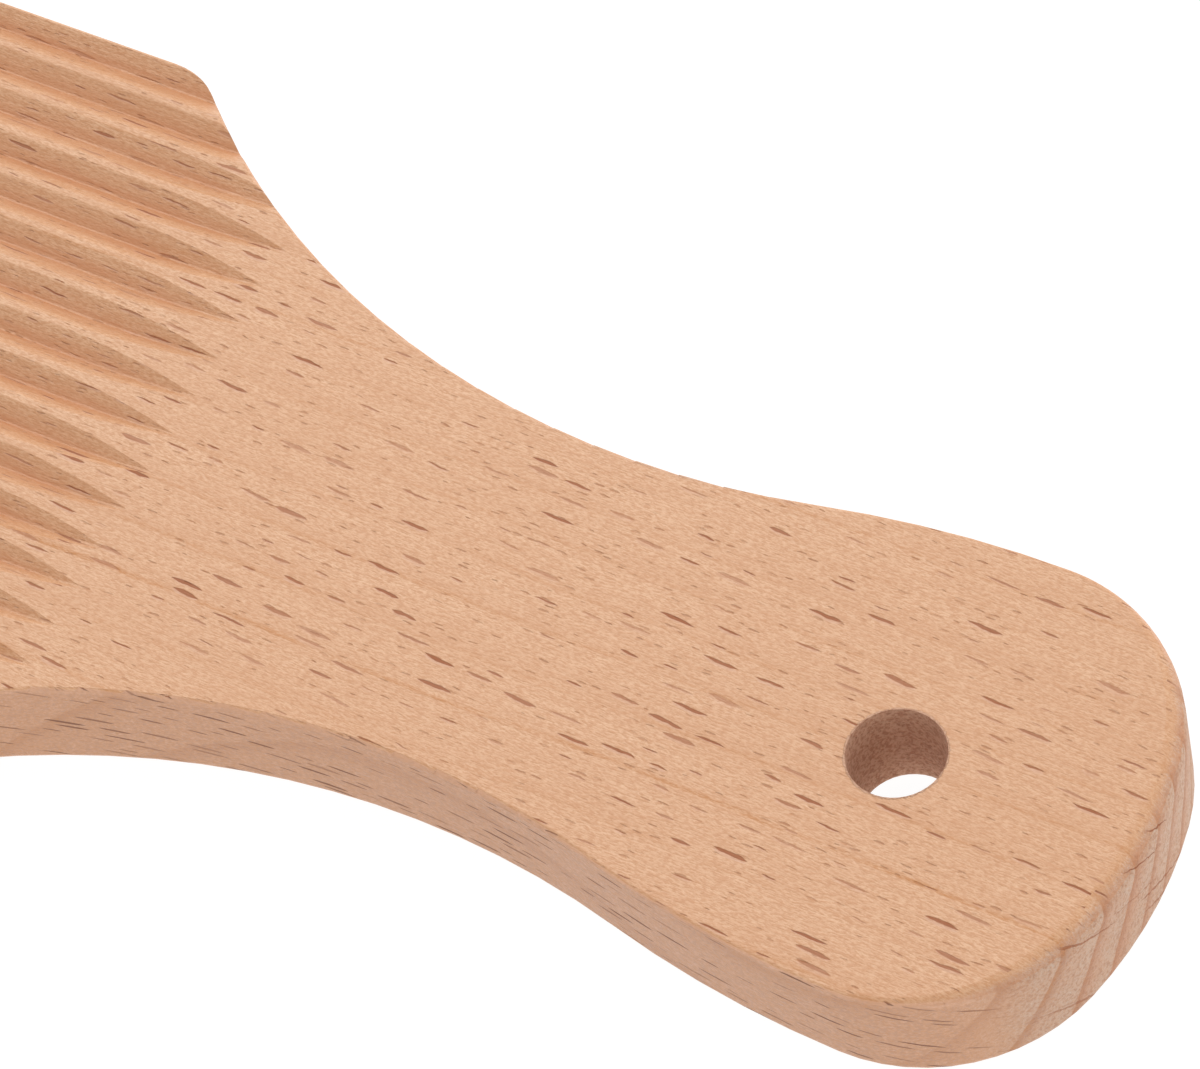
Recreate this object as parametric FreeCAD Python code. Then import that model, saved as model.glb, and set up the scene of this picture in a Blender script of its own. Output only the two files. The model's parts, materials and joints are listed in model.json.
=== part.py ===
import FreeCAD, Part
import math
import os

from FreeCAD import Vector

# A gnocchi board: one paddle of solid beech, with a grooved blade, a waisted neck, a rounded
# grip and a hole to hang it by. Millimetres. X runs along the board with the grip at +X,
# Z points up, and the origin is at the middle of the underside.

# Overall sizes
LENGTH = 215.0
THICKNESS = 9.0
TOP_EDGE_RADIUS = 0.35
BUTT_EDGE_RADIUS = 1.4
BOTTOM_EDGE_RADIUS = 0.8

# Blade, the wide grooved end
BLADE_WIDTH = 65.0
BLADE_CORNER_RADIUS = 6.0
SHOULDER_RADIUS = 6.6

# Neck and grip
NECK_RADIUS = 69.0
WAIST_WIDTH = 28.3
FLANK_RADIUS = 84.0
GRIP_WIDTH = 36.0
GRIP_CORNER_RADIUS = 13.9
BUTT_CROWN = 0.47

# Hanging hole, drilled from above and rounded where it comes out below
HOLE_DIAMETER = 7.0
HOLE_FROM_BUTT = 18.4
HOLE_EXIT_RADIUS = 1.0

# Grooves, cut by a gang of wedge-edged cutters that is set from the +Y edge and lifts out on an arc
GROOVE_PITCH = 3.5
GROOVE_DEPTH = 0.9
GROOVE_FLOOR_RADIUS = 0.2
GROOVE_LIP_RADIUS = 0.7
RIDGE_LAND = 0.1
EDGE_LAND = 0.1
CUTTER_RADIUS = 85.0
# Where the tips of the grooves lie on the centreline, and how far they step back per millimetre
# towards +Y, as the gang is set a little askew
TIPS_FROM_BUTT = 78.7
TIPS_LEAN = 0.07
# The rounded lip of a groove is cut off this far below its crown, so that it meets the face
# at a small angle
LIP_CUT = 0.02

# How far the cutting tools reach past the wood
OVERRUN = 2.0

BUTT_X = LENGTH / 2
BLADE_X = -LENGTH / 2
HOLE_X = BUTT_X - HOLE_FROM_BUTT


def towards(start, end, distance):
    """The point at a distance from start, on the line towards end."""
    return start + (end - start).normalize() * distance


def arc(centre, start, end):
    """The shorter arc about centre from start to end."""
    middle = towards(centre, (start + end) / 2, (start - centre).Length)
    return Part.Arc(start, middle, end).toShape()


def line(start, end):
    return Part.LineSegment(start, end).toShape()


def across(point):
    """The same point on the other side of the board's centreline."""
    return Vector(point.x, -point.y, point.z)


def outline():
    """The paddle seen from above: tangent arcs and lines, the same on both sides of X."""
    grip = GRIP_WIDTH / 2
    waist = WAIST_WIDTH / 2
    blade = BLADE_WIDTH / 2

    # Butt: a nearly flat end arc that runs into a tighter round at each corner
    corner_centre = Vector(BUTT_X - BUTT_CROWN - GRIP_CORNER_RADIUS, grip - GRIP_CORNER_RADIUS, 0)
    corner_reach = BUTT_CROWN + GRIP_CORNER_RADIUS
    butt_radius = (corner_reach**2 + corner_centre.y**2 - GRIP_CORNER_RADIUS**2) / (2 * BUTT_CROWN)
    butt_centre = Vector(BUTT_X - butt_radius, 0, 0)
    butt_to_corner = towards(butt_centre, corner_centre, butt_radius)
    widest = Vector(corner_centre.x, grip, 0)

    # Neck: a long bulging flank, then a hollow waist
    flank_centre = Vector(widest.x, grip - FLANK_RADIUS, 0)
    flank_and_neck = FLANK_RADIUS + NECK_RADIUS
    waist_run = math.sqrt(flank_and_neck**2 - (flank_and_neck - grip + waist) ** 2)
    neck_centre = Vector(widest.x - waist_run, waist + NECK_RADIUS, 0)
    flank_to_neck = towards(neck_centre, flank_centre, NECK_RADIUS)

    # Shoulder: a small round from the neck to the blade's straight side
    neck_and_shoulder = NECK_RADIUS + SHOULDER_RADIUS
    shoulder_run = math.sqrt(neck_and_shoulder**2 - (neck_and_shoulder - blade + waist) ** 2)
    shoulder_centre = Vector(neck_centre.x - shoulder_run, blade - SHOULDER_RADIUS, 0)
    neck_to_shoulder = towards(neck_centre, shoulder_centre, NECK_RADIUS)
    shoulder_end = Vector(shoulder_centre.x, blade, 0)

    # Blade: a straight side and a rounded corner
    blade_corner = Vector(BLADE_X + BLADE_CORNER_RADIUS, blade - BLADE_CORNER_RADIUS, 0)
    side_end = Vector(blade_corner.x, blade, 0)
    blade_end = Vector(BLADE_X, blade_corner.y, 0)

    side = [
        arc(corner_centre, butt_to_corner, widest),
        arc(flank_centre, widest, flank_to_neck),
        arc(neck_centre, flank_to_neck, neck_to_shoulder),
        arc(shoulder_centre, neck_to_shoulder, shoulder_end),
        line(shoulder_end, side_end),
        arc(blade_corner, side_end, blade_end),
    ]
    other_side = [edge.mirror(Vector(0, 0, 0), Vector(0, 1, 0)) for edge in side]
    butt = arc(butt_centre, across(butt_to_corner), butt_to_corner)
    end = line(blade_end, across(blade_end))
    return Part.Wire(Part.sortEdges([butt, end] + side + other_side)[0])


def rim(solid, height):
    """The number and the edge, for each edge of the outline at a height."""
    numbered = enumerate(solid.Edges, 1)
    return [(n, edge) for n, edge in numbered if all(abs(v.Z - height) < 1e-6 for v in edge.Vertexes)]


def top_radius(edge, parameter):
    """How far the top edge is rounded at a point of it: most of all across the butt."""
    at_butt = edge.valueAt(parameter).x > BUTT_X - GRIP_CORNER_RADIUS / 2
    return BUTT_EDGE_RADIUS if at_butt else TOP_EDGE_RADIUS


def blank():
    """The sawn paddle with its edges eased."""
    sawn = Part.Face(outline()).extrude(Vector(0, 0, THICKNESS))
    sawn = sawn.makeFillet(BOTTOM_EDGE_RADIUS, [edge for n, edge in rim(sawn, 0)])

    # The top rim's radius changes along the grip's corners, which takes a fillet in a document
    document = FreeCAD.newDocument("blank")
    base = document.addObject("Part::Feature", "sawn")
    base.Shape = sawn
    eased = document.addObject("Part::Fillet", "eased")
    eased.Base = base
    eased.Edges = [
        (n, top_radius(edge, edge.FirstParameter), top_radius(edge, edge.LastParameter))
        for n, edge in rim(base.Shape, THICKNESS)
    ]
    document.recompute()
    return eased.Shape


def hole_drill():
    """What the hole removes: half its section, turned about its axis."""
    wall = HOLE_X + HOLE_DIAMETER / 2
    flare = wall + HOLE_EXIT_RADIUS
    top = THICKNESS + OVERRUN
    rim_centre = Vector(flare, 0, HOLE_EXIT_RADIUS)
    corners = [
        Vector(wall, 0, HOLE_EXIT_RADIUS),
        Vector(wall, 0, top),
        Vector(HOLE_X, 0, top),
        Vector(HOLE_X, 0, -OVERRUN),
        Vector(flare, 0, -OVERRUN),
        Vector(flare, 0, 0),
    ]
    edges = [line(start, end) for start, end in zip(corners, corners[1:])]
    edges.append(arc(rim_centre, corners[-1], corners[0]))
    return Part.Face(Part.Wire(edges)).revolve(Vector(HOLE_X, 0, 0), Vector(0, 0, 1), 360)


def groove_half_width():
    """From the middle of a groove to where its rounded lip would touch the top face."""
    return (GROOVE_PITCH - RIDGE_LAND) / 2


def groove_section(x, y):
    """A groove's cross-section at x, about the line y: a wedge with a round floor and rounded lips."""
    half = groove_half_width()
    face = THICKNESS + LIP_CUT
    clear = THICKNESS + OVERRUN
    floor = Vector(x, y, THICKNESS - GROOVE_DEPTH)
    floor_centre = Vector(x, y, floor.z + GROOVE_FLOOR_RADIUS)

    def wall(side):
        """One wall: where it leaves the floor and meets the lip, the lip's middle and its crown."""
        lip_centre = Vector(x, y + side * half, face - GROOVE_LIP_RADIUS)
        reach = lip_centre - floor_centre
        radii = GROOVE_FLOOR_RADIUS + GROOVE_LIP_RADIUS
        lean = math.atan2(reach.z, half) - math.acos(radii / reach.Length)
        normal = Vector(0, side * math.cos(lean), math.sin(lean))
        foot = floor_centre + normal * GROOVE_FLOOR_RADIUS
        head = lip_centre - normal * GROOVE_LIP_RADIUS
        crown = Vector(x, lip_centre.y, face)
        return foot, head, lip_centre, crown

    left_foot, left_head, left_lip, left_crown = wall(-1)
    right_foot, right_head, right_lip, right_crown = wall(1)
    left_top = Vector(x, left_crown.y, clear)
    right_top = Vector(x, right_crown.y, clear)
    edges = [
        arc(left_lip, left_crown, left_head),
        line(left_head, left_foot),
        Part.Arc(left_foot, floor, right_foot).toShape(),
        line(right_foot, right_head),
        arc(right_lip, right_head, right_crown),
        line(right_crown, right_top),
        line(right_top, left_top),
        line(left_top, left_crown),
    ]
    return Part.Face(Part.Wire(edges))


def groove_tools(y):
    """What one cutter removes: a straight run out over the blade's end, and its arc of lift."""
    tip_x = BUTT_X - TIPS_FROM_BUTT - TIPS_LEAN * y
    lift_x = tip_x - math.sqrt(2 * CUTTER_RADIUS * GROOVE_DEPTH - GROOVE_DEPTH**2)
    section = groove_section(lift_x, y)
    run = section.extrude(Vector(BLADE_X - OVERRUN - lift_x, 0, 0))

    cutter_axis = Vector(lift_x, y, THICKNESS - GROOVE_DEPTH + CUTTER_RADIUS)
    clear_angle = math.degrees(math.acos(1 - (GROOVE_DEPTH + OVERRUN) / CUTTER_RADIUS))
    lift = section.revolve(cutter_axis, Vector(0, -1, 0), clear_angle)
    return [run, lift]


def groove_lines():
    """The middle of each groove, stepped across the blade from its +Y edge."""
    room = BLADE_WIDTH - 2 * EDGE_LAND - 2 * groove_half_width()
    first = BLADE_WIDTH / 2 - EDGE_LAND - groove_half_width()
    count = math.floor(room / GROOVE_PITCH) + 1
    return [first - step * GROOVE_PITCH for step in range(count)]


def board():
    tools = [hole_drill()]
    for y in groove_lines():
        tools += groove_tools(y)
    return blank().cut(tools)


os.makedirs("parts", exist_ok=True)
shape = board()
shape.exportStep("parts/board.step")
box = shape.optimalBoundingBox(True, False)
print("solids", len(shape.Solids), "valid", shape.isValid(), "volume", round(shape.Volume, 1))
print("size", round(box.XLength, 3), round(box.YLength, 3), round(box.ZLength, 3))
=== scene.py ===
import json
import math
from typing import NamedTuple

import bpy
from mathutils import Matrix, Vector


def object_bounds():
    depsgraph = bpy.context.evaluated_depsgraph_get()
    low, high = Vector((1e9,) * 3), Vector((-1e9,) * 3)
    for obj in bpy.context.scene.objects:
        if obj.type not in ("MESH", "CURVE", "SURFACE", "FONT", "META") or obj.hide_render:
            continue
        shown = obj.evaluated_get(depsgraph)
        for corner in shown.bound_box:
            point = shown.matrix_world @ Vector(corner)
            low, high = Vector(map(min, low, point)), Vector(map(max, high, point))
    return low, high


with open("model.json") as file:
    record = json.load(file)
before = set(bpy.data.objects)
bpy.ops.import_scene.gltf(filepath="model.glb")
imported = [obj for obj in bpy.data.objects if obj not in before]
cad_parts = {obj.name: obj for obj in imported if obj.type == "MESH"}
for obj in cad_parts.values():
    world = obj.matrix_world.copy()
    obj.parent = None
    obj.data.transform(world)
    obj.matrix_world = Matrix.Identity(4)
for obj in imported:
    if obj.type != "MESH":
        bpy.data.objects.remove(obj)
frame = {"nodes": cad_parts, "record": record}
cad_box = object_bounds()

# A gnocchi board of solid beech on a bright table, seen from above its near side.
# Blender works in metres. Sizes in the wood are millimetres, and MM is one millimetre.
MM = 0.001

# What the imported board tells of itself
board = frame["nodes"]["board"]
hole = next(mount for mount in frame["record"]["mounts"] if mount["name"] == "hanging_hole")
HOLE_X = hole["pos_m"][0] / MM
HOLE_RADIUS = hole["dims"]["r_mm"]
FACE = cad_box[1][2] / MM

# Camera, as the photograph was taken: a long lens above the grip, turned a little
CAMERA_PLACE = Vector((205.7, -147.2, 298.9)) * MM
CAMERA_AIM = Vector((61.6, 7.5, 9.0)) * MM
CAMERA_ROLL = math.radians(-16.1)
LENS = 154.3
SENSOR = 36.0
NEAREST_SEEN = 0.01
FARTHEST_SEEN = 10.0

# Light: a sky whose rim is bright behind the board and past its grip and dimmer elsewhere, and a
# soft lamp that the top face mirrors, placed in metres
SKY_OVERHEAD = 0.78
SKY_BEHIND = 1.5
SKY_PAST_GRIP = 0.9
SKY_RIM = -0.3
LAMP_PLACE = Vector((-0.35, 0.44, 0.82))
LAMP_SIZE = 0.93
LAMP_POWER = 3.8

# Table: a square that glows like a lit backdrop, a hair below the board's underside, in metres
TABLE_REACH = 1.5
TABLE_DROP = 0.05 * MM
TABLE_GREY = (0.08, 0.08, 0.08, 1)
TABLE_ROUGHNESS = 0.6
TABLE_GLOW = 0.95
WHITE = (1, 1, 1, 1)

# How the plank was sawn: its rays slope down towards +Y, and its fibres drift off the X axis
RAY_SLOPE = math.radians(30)
FIBRE_DRIFT_Y = 0.01
FIBRE_DRIFT_Z = 0.03

# How a surface is told by its normal, whose upright part is 1 on the faces and 0 on the sides.
# In a pair, the first value is where a share starts and the second where it is full.
FACE_UPRIGHT = 0.5
LEVEL_UPRIGHT = 0.95
END_GRAIN_AND_SHEEN_UPRIGHT = (1.0, 0.7)
END_UPRIGHT = (0.95, 0.55)
SIDE_UPRIGHT = (0.9, 0.5)
EDGE_TOP_UPRIGHT = (0.84, 0.7)
EDGE_FOOT_UPRIGHT = (0.1, 0.35)
# How much of a normal's level part points along the fibres at an end. On the faces the level part
# counts as LEAST_LEVEL, as nothing can be divided by 0.
ENDWARD = (0.55, 0.9)
LEAST_LEVEL = 0.001

# Growth rings, counted from one of them towards the outside of the log, where they are wider
RING_ZERO = 2.94
FIRST_RING = 2.68
RING_GROWTH = 0.0031
RING_BEND = 1.6
RING_SHIVER = 0.35
# Where the late wood, its last band and its last line set in within a ring, and where the band and
# the line close
LATE_RISE = (0.2, 1.0)
BAND_RISE = (0.7, 0.96)
LINE_RISE = (0.85, 0.96)
RING_CLOSES = (1.0, 0.97)
# How dark late wood and line are, from the faintest ring to the strongest, and how much darker the
# line of one ring is
LATE_VIGOUR = (0.08, 0.28)
LINE_VIGOUR = (0.15, 0.5)
DARKEST_RING = 4
DARKEST_VIGOUR = 0.5

# Colours of the bare wood. Some of them also paint light and shade, as told where they are used.
PALE_BEECH = (0.738, 0.436, 0.246, 1)
LATE_BEECH = (0.560, 0.255, 0.105, 1)
# Painted shade in the grooves
GROOVE_SHADE_BEECH = (0.560, 0.225, 0.087, 1)
# Painted shade: the darker, redder colour of the sides
SIDE_SHADE_BEECH = (0.540, 0.225, 0.155, 1)
# Paler rounded edges: sanded wear, and painted light that lifts their shade
WORN_AND_LIT_BEECH = (0.950, 0.580, 0.400, 1)
RING_RED = (0.540, 0.160, 0.062, 1)
RING_BROWN = (0.500, 0.185, 0.032, 1)
RAY_BROWN = (0.320, 0.092, 0.028, 1)
RAY_PINK = (0.620, 0.335, 0.210, 1)
SIDE_RAY = (0.220, 0.085, 0.042, 1)
# The end grain's own greyer tone, which also paints a sheen on the butt's rounding
END_GRAIN_AND_SHEEN = (0.615, 0.450, 0.345, 1)
# The hole's wall: the drilled wood's own tone, darkened as painted shade inside the hole
HOLE_WALL_AND_SHADE_BROWN = (0.630, 0.370, 0.240, 1)

# How far these colours tint the wood where they are full. The late wood of a ring is never full,
# so its tint at the ends is more than 1.
SIDE_SHADE_TINT = 0.4
END_RING_TINT = 1.5
SIDE_BAND_TINT = 0.3
END_BAND_TINT = 0.5
END_PORE_TINT = 0.35
WORN_AND_LIT_TINT = 0.3
GROOVE_SHADE_TINT = (0.4, 0.8)
FINE_TINT = 0.45
HALO_TINT = 0.6
FLECK_TINT = 0.88

# Depths below the face between which the painted shade of the grooves sets in and grows full
GROOVE_SHADE_DEPTH = (0.1, 0.9)


class Grain(NamedTuple):
    """A noise in the wood."""

    waves: tuple  # how many to a millimetre in each of three directions, first along the fibres
    span: tuple = (0.0, 1.0)  # the values of the noise at which its tint starts and is full
    tint: float = 1.0  # how far it tints the wood
    detail: float = 2.0
    rough: float = 0.5


BEND = Grain(waves=(0.025, 0.04, 0.04))
SHIVER = Grain(waves=(0.18, 0.3, 0.3))
WAVER = Grain(waves=(0.6, 1.2, 1.2))
LINE_BREAKS = Grain(waves=(0.15, 0.8, 0.8), span=(0.3, 0.6), detail=3.0)
TONE = Grain(waves=(0.02, 0.16, 0.16), span=(0.3, 0.75), tint=0.2)
STREAK = Grain(waves=(0.1, 1.8, 1.8), span=(0.3, 0.7), tint=0.2)
GRIT = Grain(waves=(0.35, 4.0, 4.0), span=(0.3, 0.7), tint=0.25, detail=1.0)
FIBRE = Grain(waves=(2.2, 9.5, 9.5), span=(0.37, 0.63), tint=0.9, rough=0.7)
SAWN = Grain(waves=(3.0, 3.5, 3.5), span=(0.38, 0.62), tint=0.28)
TORN = Grain(waves=(3.5, 3.5, 3.5), span=(0.4, 0.65), tint=0.6, detail=3.0, rough=0.65)

# Other uses of the same noises: pores of the end grain, and fibres that fray a ring's line. The
# last value is how much of the fibres' tint the ends lose.
PORE_SPAN = (0.45, 0.7)
RAGGED_SPAN = (0.25, 0.6)
LEAST_RAGGED = 0.3
END_FIBRE_LOSS = 0.5


class Flecks(NamedTuple):
    """A kind of ray fleck, at most one to a cell, in millimetres. A pair is the least and the most."""

    cell: tuple  # along the fleck and across it
    half_length: tuple
    slimness: tuple  # width over length
    filled: tuple  # the share of a row's cells that hold a fleck
    soft: float  # half the width of the blurred rim
    lean: float = 0.0  # how far a fleck steps aside per millimetre of its length


BROAD = Flecks((3.5, 1.3), (0.5, 1.4), (0.06, 0.115), (0.28, 0.6), soft=0.035, lean=-0.03)
HALO = BROAD._replace(slimness=(0.095, 0.165), soft=0.05)
FINE = Flecks((1.3, 0.4), (0.18, 0.45), (0.1, 0.16), (0.06, 0.3), soft=0.03)
SLIM = Flecks((3.1, 0.9), (0.5, 1.4), (0.055, 0.09), (0.3, 0.9), soft=0.015, lean=-0.02)
ENDWISE = Flecks((14.0, 1.7), (2.5, 6.0), (0.014, 0.024), (0.4, 0.9), soft=0.03)

# What all flecks share: cells that a row may shift by, the power of their taper, their strength
ROW_SHIFT = 10.0
FLECK_TAPER = 3.0
FLECK_STRENGTH = (0.45, 1.0)
# How far flecks stray from their rows, how much closer they lie on the walls of the grooves, and
# how far the pale halo stands aside
FACE_WAVER = 0.35
END_WAVER = 0.6
WALL_CROWDING = 1.5
HALO_ASIDE = 0.09

# The torn wall of the hole: how ragged its rim is, and how far it frays over the face
RIM_RAGGED = 0.5
RIM_FRAY = (0.14, 0.06)

# How the surface shines, and how deep its bumps are
SHINE = 0.85
FIBRE_SPAN = (0.2, 0.8)
FIBRE_ROUGHNESS = (0.37, 0.47)
TORN_ROUGHNESS = 0.45
FINE_ROUGHER = 0.5
END_ROUGHER = 0.5
TORN_HEIGHT = 3.0
BUMP_DEPTH = 0.045 * MM


class Graph:
    """A node tree written as sums: its methods add nodes and return their outputs."""

    def __init__(self, tree):
        self.tree = tree

    def feed(self, socket, value):
        if isinstance(value, bpy.types.NodeSocket):
            self.tree.links.new(value, socket)
        else:
            socket.default_value = value

    def node(self, kind, output, settings=(), **inputs):
        """An input is named as in Blender, with _ for a space, or by its number, as in i0."""
        made = self.tree.nodes.new(kind)
        for key, value in dict(settings).items():
            setattr(made, key, value)
        for key, value in inputs.items():
            index = int(key[1:]) if key[1:].isdigit() else key.replace("_", " ")
            self.feed(made.inputs[index], value)
        return made.outputs[output]

    def place(self, kind):
        return self.tree.nodes.new("ShaderNodeTexCoord").outputs[kind]

    def math(self, operation, a, b=0.0):
        return self.node("ShaderNodeMath", 0, {"operation": operation}, i0=a, i1=b)

    def add(self, *terms):
        total = terms[0]
        for term in terms[1:]:
            total = self.math("ADD", total, term)
        return total

    def times(self, *factors):
        product = factors[0]
        for factor in factors[1:]:
            product = self.math("MULTIPLY", product, factor)
        return product

    def minus(self, a, b):
        return self.math("SUBTRACT", a, b)

    def rest(self, share):
        """What a share leaves of 1."""
        return self.minus(1.0, share)

    def square(self, value):
        return self.math("POWER", value, 2.0)

    def size(self, value):
        """A value without its sign."""
        return self.math("ABSOLUTE", value)

    def distance(self, a, b):
        """The long side of a right-angled triangle."""
        return self.math("SQRT", self.add(self.square(a), self.square(b)))

    def centred(self, value):
        """A value from 0 to 1, measured from the middle."""
        return self.minus(value, 0.5)

    def either(self, share, a, b):
        """a where share is 1, b where it is 0."""
        return self.add(self.times(share, self.minus(a, b)), b)

    def ramp(self, value, start, end, low=0.0, high=1.0):
        """Low where value is at start, high where it is at end, and smooth between."""
        settings = {"interpolation_type": "SMOOTHSTEP"}
        return self.node("ShaderNodeMapRange", 0, settings, i0=value, i1=start, i2=end, i3=low, i4=high)

    def spread(self, chance, least, most):
        """A chance from 0 to 1, spread between the least and the most."""
        return self.ramp(chance, 0.0, 1.0, least, most)

    def vector(self, x, y=0.0, z=0.0):
        return self.node("ShaderNodeCombineXYZ", 0, X=x, Y=y, Z=z)

    def parts(self, vector):
        made = self.tree.nodes.new("ShaderNodeSeparateXYZ")
        self.feed(made.inputs[0], vector)
        return made.outputs

    def noise(self, grain, place):
        """Smooth noise about 0.5."""
        spot = self.vector(*[self.times(part, waves) for part, waves in zip(place, grain.waves)])
        look = {"Detail": grain.detail, "Roughness": grain.rough}
        return self.node("ShaderNodeTexNoise", 0, Vector=spot, Scale=1.0, **look)

    def tint(self, grain, noise):
        """How far a noise tints the wood."""
        return self.ramp(noise, *grain.span, 0.0, grain.tint)

    def chances(self, x, y=0.5, z=0.5):
        """Three random values for each whole-numbered place."""
        spot = self.vector(x, y, z)
        return self.parts(self.node("ShaderNodeTexWhiteNoise", 1, {"noise_dimensions": "3D"}, Vector=spot))

    def mix(self, share, a, b):
        """Colour a where share is 0, colour b where it is 1."""
        made = self.tree.nodes.new("ShaderNodeMix")
        made.data_type = "RGBA"
        self.feed(made.inputs[0], share)
        self.feed(made.inputs[6], a)
        self.feed(made.inputs[7], b)
        return made.outputs[2]


def new_material(name):
    material = bpy.data.materials.new(name)
    material.use_nodes = True
    return material, Graph(material.node_tree), material.node_tree.nodes["Principled BSDF"]


class Spot:
    """A point of the wood: where it is in the plank and in the log, in millimetres."""

    def __init__(self, g):
        settings = {"operation": "SCALE"}
        scaled = g.node("ShaderNodeVectorMath", 0, settings, i0=g.place("Object"), Scale=1 / MM)
        self.x, self.y, self.z = g.parts(scaled)
        self.in_plank = (self.x, self.y, self.z)

        # In the log a point lies along the fibres, across the rings and along them
        cosine = math.cos(RAY_SLOPE)
        sine = math.sin(RAY_SLOPE)
        self.log_y = g.add(self.y, g.times(self.x, FIBRE_DRIFT_Y))
        log_z = g.add(self.z, g.times(self.x, FIBRE_DRIFT_Z))
        self.across = g.minus(g.times(self.log_y, cosine), g.times(log_z, sine))
        self.around = g.add(g.times(self.log_y, sine), g.times(log_z, cosine))
        self.in_log = (self.x, self.across, self.around)


class Facing:
    """Which way the surface faces, as shares of face, end, side and rounded edge."""

    def __init__(self, g):
        endward, sideward, self.upright = [g.size(part) for part in g.parts(g.place("Normal"))]
        level = g.math("MAXIMUM", g.distance(endward, sideward), LEAST_LEVEL)
        self.endward = g.ramp(g.math("DIVIDE", endward, level), *ENDWARD)
        self.face = g.math("GREATER_THAN", self.upright, FACE_UPRIGHT)
        self.end = g.times(self.endward, g.ramp(self.upright, *END_UPRIGHT))
        self.off_end = g.rest(self.end)
        self.side = g.times(g.ramp(self.upright, *SIDE_UPRIGHT), self.off_end)
        edge = g.times(g.ramp(self.upright, *EDGE_TOP_UPRIGHT), g.ramp(self.upright, *EDGE_FOOT_UPRIGHT))
        self.edge = g.times(edge, g.rest(self.endward))


class Rings:
    """How far towards late wood a point is in its yearly ring, and the ring's last band and line."""

    def __init__(self, g, spot):
        bend = g.times(g.centred(g.noise(BEND, spot.in_log)), RING_BEND)
        shiver = g.times(g.centred(g.noise(SHIVER, spot.in_log)), RING_SHIVER)
        depth = g.minus(RING_ZERO, g.add(spot.across, bend, shiver))
        ring = g.minus(g.times(depth, 1 / FIRST_RING), g.times(depth, depth, RING_GROWTH))
        year = g.math("FLOOR", ring)
        rise = g.minus(ring, year)
        late_chance, line_chance, _ = g.chances(year)

        self.late = g.times(g.ramp(rise, *LATE_RISE), g.spread(late_chance, *LATE_VIGOUR))
        closing = g.ramp(rise, *RING_CLOSES)
        self.band = g.times(g.ramp(rise, *BAND_RISE), closing)
        line = g.times(g.ramp(rise, *LINE_RISE), closing)
        broken = g.tint(LINE_BREAKS, g.noise(LINE_BREAKS, spot.in_log))
        darkest = g.math("LESS_THAN", g.size(g.minus(year, DARKEST_RING)), 0.5)
        vigour = g.add(g.spread(line_chance, *LINE_VIGOUR), g.times(darkest, DARKEST_VIGOUR))
        self.line = g.times(line, broken, vigour)


class Fibres:
    """The noises of the fibres, and the marks of the saw on the sides."""

    def __init__(self, g, spot, facing):
        self.tone = g.noise(TONE, spot.in_log)
        self.streak = g.noise(STREAK, spot.in_log)
        self.fibre = g.noise(FIBRE, spot.in_log)
        self.grit = g.noise(GRIT, spot.in_log)
        self.sawn = g.times(g.noise(SAWN, spot.in_log), facing.side)


def fleck_pattern(g, kind, along, beside):
    """Flecks of a kind, 0 to 1: blunt lenses in rows, at most one in a cell."""
    cell_long, cell_wide = kind.cell
    row_place = g.times(beside, 1 / cell_wide)
    row = g.math("FLOOR", row_place)
    row_shift, crowd, _ = g.chances(row)
    file_place = g.add(g.times(along, 1 / cell_long), g.times(row_shift, ROW_SHIFT))
    file = g.math("FLOOR", file_place)
    present, long, slim = g.chances(file, row)
    dark, place_along, place_beside = g.chances(row, z=file)

    # A fleck lies anywhere in its cell that leaves it whole
    longest = kind.half_length[1]
    broadest = longest * (kind.slimness[1] + abs(kind.lean))
    free_along = g.times(g.centred(place_along), cell_long - 2 * longest)
    free_beside = g.times(g.centred(place_beside), cell_wide - 2 * broadest)
    off_along = g.minus(g.times(g.centred(g.minus(file_place, file)), cell_long), free_along)
    off_beside = g.minus(g.times(g.centred(g.minus(row_place, row)), cell_wide), free_beside)

    half_length = g.spread(long, *kind.half_length)
    half_width = g.times(half_length, g.spread(slim, *kind.slimness))
    reach = g.size(g.math("DIVIDE", off_along, half_length))
    lens = g.times(half_width, g.rest(g.math("POWER", reach, FLECK_TAPER)))
    inside = g.minus(lens, g.size(g.minus(off_beside, g.times(off_along, kind.lean))))
    here = g.math("LESS_THAN", present, g.spread(crowd, *kind.filled))
    strength = g.times(here, g.spread(dark, *FLECK_STRENGTH))
    return g.times(g.ramp(inside, -kind.soft, kind.soft), strength)


class Rays:
    """Ray flecks: cut lengthwise on the faces, seen slimmer on the sides and endwise at the ends."""

    def __init__(self, g, spot, facing):
        waver = g.centred(g.noise(WAVER, spot.in_log))
        level = g.math("GREATER_THAN", facing.upright, LEVEL_UPRIGHT)
        face_place = g.times(spot.log_y, g.either(level, 1.0, WALL_CROWDING))
        face_place = g.add(face_place, g.times(waver, FACE_WAVER))
        side_place = g.times(spot.around, 1 / math.cos(RAY_SLOPE))
        end_place = g.add(spot.around, g.times(waver, END_WAVER))
        lengthwise = g.times(facing.face, facing.off_end)

        broad = fleck_pattern(g, BROAD, spot.x, face_place)
        slim = fleck_pattern(g, SLIM, spot.x, side_place)
        endwise = fleck_pattern(g, ENDWISE, spot.across, end_place)
        self.flecks = g.either(facing.end, endwise, g.either(facing.face, broad, slim))
        self.fine = g.times(fleck_pattern(g, FINE, spot.x, face_place), lengthwise)
        self.halo = g.times(fleck_pattern(g, HALO, spot.x, g.add(face_place, HALO_ASIDE)), lengthwise)


class HoleWall:
    """The hole's torn wall, which frays a little over the rim."""

    def __init__(self, g, spot):
        from_middle = g.distance(g.minus(spot.x, HOLE_X), spot.y)
        self.torn = g.noise(TORN, spot.in_plank)
        ragged = g.add(from_middle, g.times(g.centred(self.torn), RIM_RAGGED))
        self.share = g.ramp(ragged, *[HOLE_RADIUS + fray for fray in RIM_FRAY])


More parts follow.
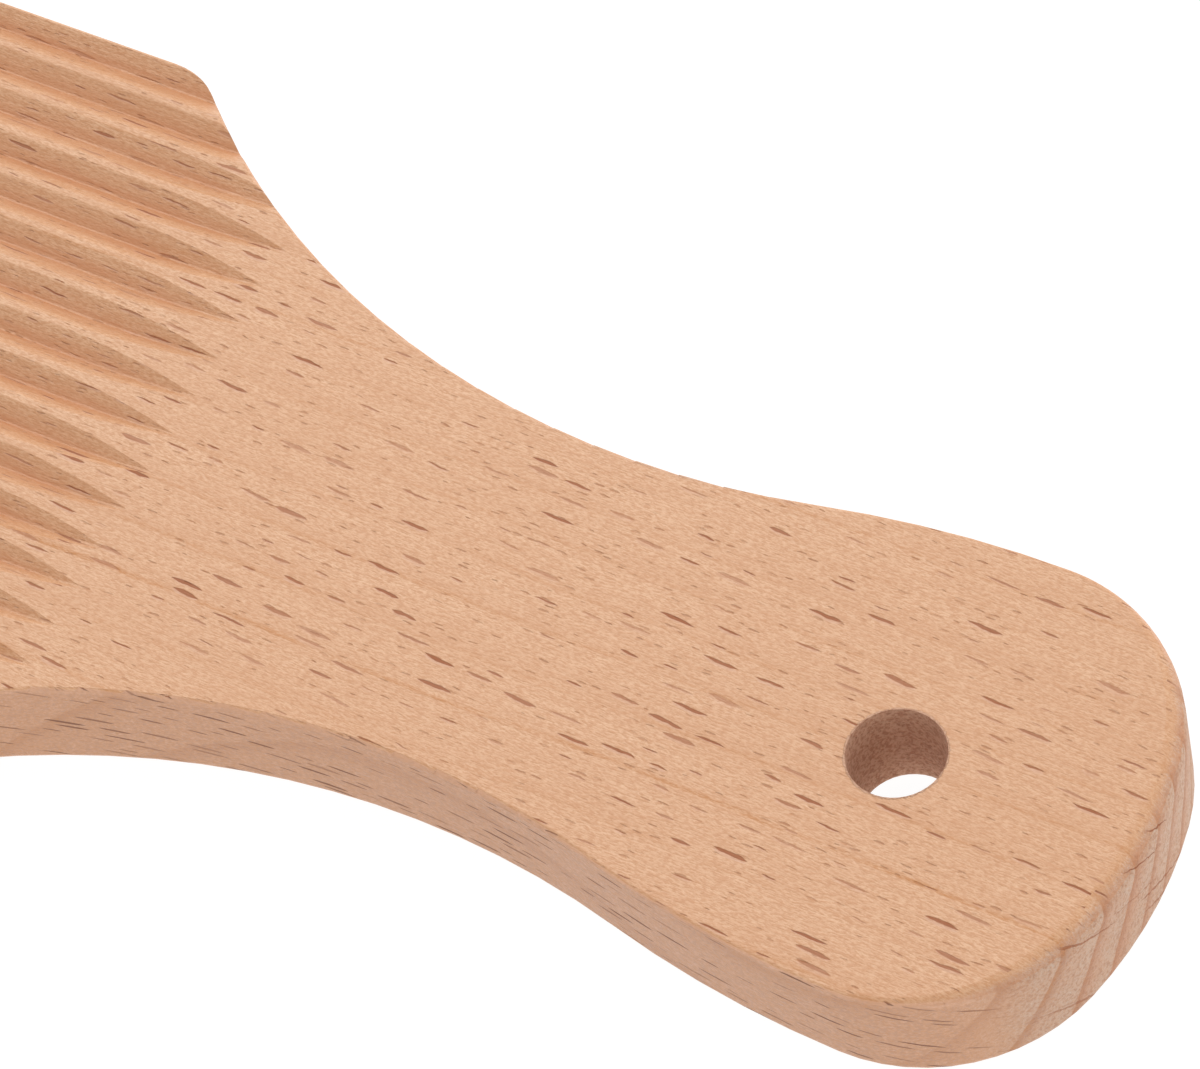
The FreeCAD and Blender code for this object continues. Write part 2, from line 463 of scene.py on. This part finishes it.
def plank_colour(g, facing, rings, fibres):
    """The bare plank: pale, greyer at the ends with a painted sheen on the butt's rounding, darker and
    redder at the sides as painted shade, with rings and fibres.
    """
    # The ends' grey tone: the end grain's own colour, plus a painted sheen where the butt's rounding sets in
    end_grain_and_sheen = g.times(facing.endward, g.ramp(facing.upright, *END_GRAIN_AND_SHEEN_UPRIGHT))
    colour = g.mix(end_grain_and_sheen, PALE_BEECH, END_GRAIN_AND_SHEEN)
    # Painted shade: the sides are darkened and reddened
    colour = g.mix(g.times(facing.side, SIDE_SHADE_TINT), colour, SIDE_SHADE_BEECH)

    # Rings, whose last band shows on the sides and ends
    band = g.add(g.times(facing.side, SIDE_BAND_TINT), g.times(facing.end, END_BAND_TINT))
    colour = g.mix(g.add(rings.late, g.tint(TONE, fibres.tone)), colour, LATE_BEECH)
    colour = g.mix(g.times(facing.end, END_RING_TINT, rings.late), colour, RING_RED)
    colour = g.mix(g.times(rings.band, band), colour, RAY_BROWN)

    # Fibres, the marks of the saw on the sides, and the pores of the end grain
    colour = g.mix(g.tint(STREAK, fibres.streak), colour, LATE_BEECH)
    colour = g.mix(g.tint(GRIT, fibres.grit), colour, LATE_BEECH)
    colour = g.mix(g.tint(SAWN, fibres.sawn), colour, SIDE_RAY)
    clear_of_end = g.rest(g.times(facing.end, END_FIBRE_LOSS))
    colour = g.mix(g.times(g.tint(FIBRE, fibres.fibre), clear_of_end), colour, LATE_BEECH)
    pores = g.times(facing.end, g.ramp(fibres.grit, *PORE_SPAN))
    colour = g.mix(g.times(pores, END_PORE_TINT), colour, RAY_BROWN)

    # The thin dark line that closes a ring on the faces, and the rounded edges made paler: partly sanded
    # wear, partly painted light that lifts their shade
    ragged = g.ramp(fibres.fibre, *RAGGED_SPAN, LEAST_RAGGED, 1.0)
    colour = g.mix(g.times(ragged, g.rest(band), rings.line), colour, RING_BROWN)
    # Painted light with sanded wear: the rounded edges are made paler
    return g.mix(g.times(facing.edge, WORN_AND_LIT_TINT), colour, WORN_AND_LIT_BEECH)


def groove_colour(g, colour, spot, facing, fibres):
    """Painted shade in the grooves: darker and more orange towards the floor, varied by streaks."""
    sunk = g.ramp(spot.z, *[FACE - depth for depth in GROOVE_SHADE_DEPTH])
    upper_half = g.math("GREATER_THAN", spot.z, FACE / 2)
    in_groove = g.times(facing.face, sunk, upper_half)
    # Painted shade, deepest at the groove floor
    return g.mix(g.times(in_groove, g.ramp(fibres.streak, *STREAK.span, *GROOVE_SHADE_TINT)), colour, GROOVE_SHADE_BEECH)


def fleck_colour(g, colour, facing, rays):
    colour = g.mix(g.times(rays.fine, FINE_TINT), colour, RAY_BROWN)
    colour = g.mix(g.times(rays.halo, HALO_TINT), colour, RAY_PINK)
    brown = g.mix(facing.side, RAY_BROWN, SIDE_RAY)
    return g.mix(g.times(rays.flecks, FLECK_TINT), colour, brown)


def hole_colour(g, colour, wall):
    # Partly painted shade inside the hole, partly the drilled wall's own tone; torn specks darken it further
    colour = g.mix(wall.share, colour, HOLE_WALL_AND_SHADE_BROWN)
    return g.mix(g.times(wall.share, g.tint(TORN, wall.torn)), colour, RAY_BROWN)


def surface_roughness(g, facing, fibres, rays, wall):
    """Sanded wood with a faint gloss, duller in the flecks, in the hole and at the ends."""
    dull = g.add(rays.flecks, g.times(rays.fine, FINE_ROUGHER), wall.share, g.times(facing.end, END_ROUGHER))
    sanded = g.ramp(fibres.fibre, *FIBRE_SPAN, *FIBRE_ROUGHNESS)
    return g.add(sanded, g.times(dull, TORN_ROUGHNESS))


def surface_bump(g, facing, fibres, rays, wall):
    """Fibres that stand up, more so at the ends, flecks that sink in, and the hole's torn wood."""
    raised = g.times(g.add(fibres.fibre, fibres.grit, fibres.sawn), g.add(1.0, facing.end))
    sunk = g.times(g.add(rays.flecks, rays.fine), -1.0)
    height = g.add(raised, sunk, g.times(wall.share, wall.torn, TORN_HEIGHT))
    return g.node("ShaderNodeBump", 0, Height=height, Strength=1.0, Distance=BUMP_DEPTH)


def beech():
    """Bare beech, whose rings, fibres and rays run through the plank however it is cut."""
    material, g, shader = new_material("beech")
    spot = Spot(g)
    facing = Facing(g)
    rings = Rings(g, spot)
    fibres = Fibres(g, spot, facing)
    rays = Rays(g, spot, facing)
    wall = HoleWall(g, spot)

    colour = plank_colour(g, facing, rings, fibres)
    colour = groove_colour(g, colour, spot, facing, fibres)
    colour = fleck_colour(g, colour, facing, rays)
    colour = hole_colour(g, colour, wall)
    g.feed(shader.inputs["Base Color"], colour)
    g.feed(shader.inputs["Roughness"], surface_roughness(g, facing, fibres, rays, wall))
    g.feed(shader.inputs["Normal"], surface_bump(g, facing, fibres, rays, wall))
    shader.inputs["Specular IOR Level"].default_value = SHINE
    return material


def table():
    """The pale floor under the board."""
    material, _, shader = new_material("table")
    shader.inputs["Base Color"].default_value = TABLE_GREY
    shader.inputs["Roughness"].default_value = TABLE_ROUGHNESS
    shader.inputs["Emission Color"].default_value = WHITE
    shader.inputs["Emission Strength"].default_value = TABLE_GLOW
    mesh = bpy.data.meshes.new("table")
    corners = [(x * TABLE_REACH, y * TABLE_REACH, 0) for x, y in ((-1, -1), (1, -1), (1, 1), (-1, 1))]
    mesh.from_pydata(corners, [], [(0, 1, 2, 3)])
    mesh.materials.append(material)
    floor = bpy.data.objects.new("table", mesh)
    floor.location.z = -TABLE_DROP
    bpy.context.scene.collection.objects.link(floor)


def sky():
    """White light from all around, whose strength changes towards the horizon."""
    world = bpy.data.worlds.new("studio")
    world.use_nodes = True
    g = Graph(world.node_tree)
    background = world.node_tree.nodes["Background"]
    background.inputs["Color"].default_value = WHITE
    right, back, up = g.parts(g.place("Generated"))
    rim = g.square(g.rest(up))
    behind = g.times(g.math("MAXIMUM", back, 0.0), SKY_BEHIND)
    past_grip = g.times(g.math("MAXIMUM", right, 0.0), SKY_PAST_GRIP)
    glow = g.add(behind, past_grip, SKY_RIM)
    g.feed(background.inputs["Strength"], g.add(g.times(rim, glow), SKY_OVERHEAD))
    bpy.context.scene.world = world


def looking_at(place, target):
    """The turn of a lamp or camera at a place that looks at a target."""
    return (target - place).to_track_quat("-Z", "Y")


def lamp():
    """One soft round lamp."""
    light = bpy.data.lights.new("lamp", "AREA")
    light.shape = "DISK"
    light.size = LAMP_SIZE
    light.energy = LAMP_POWER
    stand = bpy.data.objects.new("lamp", light)
    stand.location = LAMP_PLACE
    stand.rotation_euler = looking_at(LAMP_PLACE, CAMERA_AIM).to_euler()
    bpy.context.scene.collection.objects.link(stand)


def camera():
    data = bpy.data.cameras.new("camera")
    data.lens = LENS
    data.sensor_width = SENSOR
    data.sensor_fit = "HORIZONTAL"
    data.clip_start = NEAREST_SEEN
    data.clip_end = FARTHEST_SEEN
    eye = bpy.data.objects.new("camera", data)
    turn = looking_at(CAMERA_PLACE, CAMERA_AIM).to_matrix().to_4x4()
    eye.matrix_world = Matrix.Translation(CAMERA_PLACE) @ turn @ Matrix.Rotation(CAMERA_ROLL, 4, "Z")
    bpy.context.scene.collection.objects.link(eye)
    bpy.context.scene.camera = eye


camera()
sky()
lamp()
bpy.context.scene.view_settings.view_transform = "Standard"
table()
board.data.materials.clear()
board.data.materials.append(beech())
